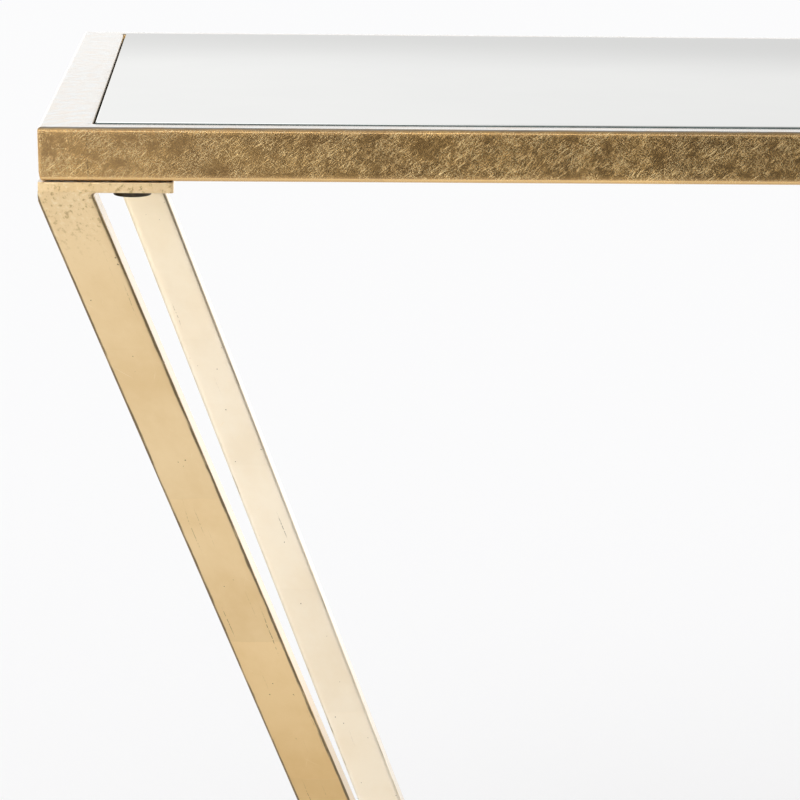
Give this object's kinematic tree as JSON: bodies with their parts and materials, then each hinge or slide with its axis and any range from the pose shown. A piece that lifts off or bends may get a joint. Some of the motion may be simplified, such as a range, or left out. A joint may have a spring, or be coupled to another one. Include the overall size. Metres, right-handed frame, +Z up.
{
  "type": "vanity table",
  "caption": "Narrow rectangular vanity table: gold-leafed steel frame, drop-in mirror top, raked tube legs leaning in to a small floor frame.",
  "frame": {"origin": "on the floor under the centre of the top", "axes": "+X along the table's length, -Y towards its front, +Z up"},
  "size_m": [1.067, 0.42, 0.762],
  "materials": {
    "gold_leaf": "hand-laid metal leaf on steel, satin, with fine criss-cross scratches and darker worn arrises",
    "mirror": "clear silvered glass with ground arrises",
    "dark_board": "fibreboard with a dark painted back",
    "dark_bolt": "dark oxide",
    "zinc_steel": "bright zinc",
    "black_nylon": "moulded, fine texture",
    "clear_bumper": "soft clear"
  },
  "bodies": {
    "frame": {"front_rail": "gold_leaf", "back_rail": "gold_leaf", "left_rail": "gold_leaf", "right_rail": "gold_leaf", "front_ledge": "gold_leaf", "back_ledge": "gold_leaf", "left_ledge": "gold_leaf", "right_ledge": "gold_leaf", "cross_bar_left": "gold_leaf", "cross_bar_right": "gold_leaf", "bumper_front_left": "clear_bumper", "bumper_front_right": "clear_bumper", "bumper_back_left": "clear_bumper", "bumper_back_right": "clear_bumper", "bumper_centre_left": "clear_bumper", "bumper_centre_right": "clear_bumper", "leg_front_left": "gold_leaf", "leg_plate_front_left": "gold_leaf", "leg_bolt_front_left": "dark_bolt", "weld_nut_front_left": "zinc_steel", "glide_insert_front_left": "zinc_steel", "leg_front_right": "gold_leaf", "leg_plate_front_right": "gold_leaf", "leg_bolt_front_right": "dark_bolt", "weld_nut_front_right": "zinc_steel", "glide_insert_front_right": "zinc_steel", "leg_back_left": "gold_leaf", "leg_plate_back_left": "gold_leaf", "leg_bolt_back_left": "dark_bolt", "weld_nut_back_left": "zinc_steel", "glide_insert_back_left": "zinc_steel", "leg_back_right": "gold_leaf", "leg_plate_back_right": "gold_leaf", "leg_bolt_back_right": "dark_bolt", "weld_nut_back_right": "zinc_steel", "glide_insert_back_right": "zinc_steel", "floor_rail_front": "gold_leaf", "floor_rail_back": "gold_leaf", "floor_rail_left": "gold_leaf", "floor_rail_right": "gold_leaf"},
    "top_panel": {"mirror_glass": "mirror", "backing_board": "dark_board"},
    "glide_front_left": {"glide_foot_front_left": "black_nylon", "glide_stud_front_left": "zinc_steel"},
    "glide_front_right": {"glide_foot_front_right": "black_nylon", "glide_stud_front_right": "zinc_steel"},
    "glide_back_left": {"glide_foot_back_left": "black_nylon", "glide_stud_back_left": "zinc_steel"},
    "glide_back_right": {"glide_foot_back_right": "black_nylon", "glide_stud_back_right": "zinc_steel"}
  },
  "joints": [
    {"name": "panel_lift", "type": "slide", "parent": "frame", "child": "top_panel", "axis": [0, 0, 1], "range_m": [0, 0.03]},
    {"name": "glide_screw_front_left", "type": "slide", "parent": "frame", "child": "glide_front_left", "axis": [0, 0, -1], "range_m": [0, 0.008]},
    {"name": "glide_screw_front_right", "type": "slide", "parent": "frame", "child": "glide_front_right", "axis": [0, 0, -1], "range_m": [0, 0.008]},
    {"name": "glide_screw_back_left", "type": "slide", "parent": "frame", "child": "glide_back_left", "axis": [0, 0, -1], "range_m": [0, 0.008]},
    {"name": "glide_screw_back_right", "type": "slide", "parent": "frame", "child": "glide_back_right", "axis": [0, 0, -1], "range_m": [0, 0.008]}
  ]
}
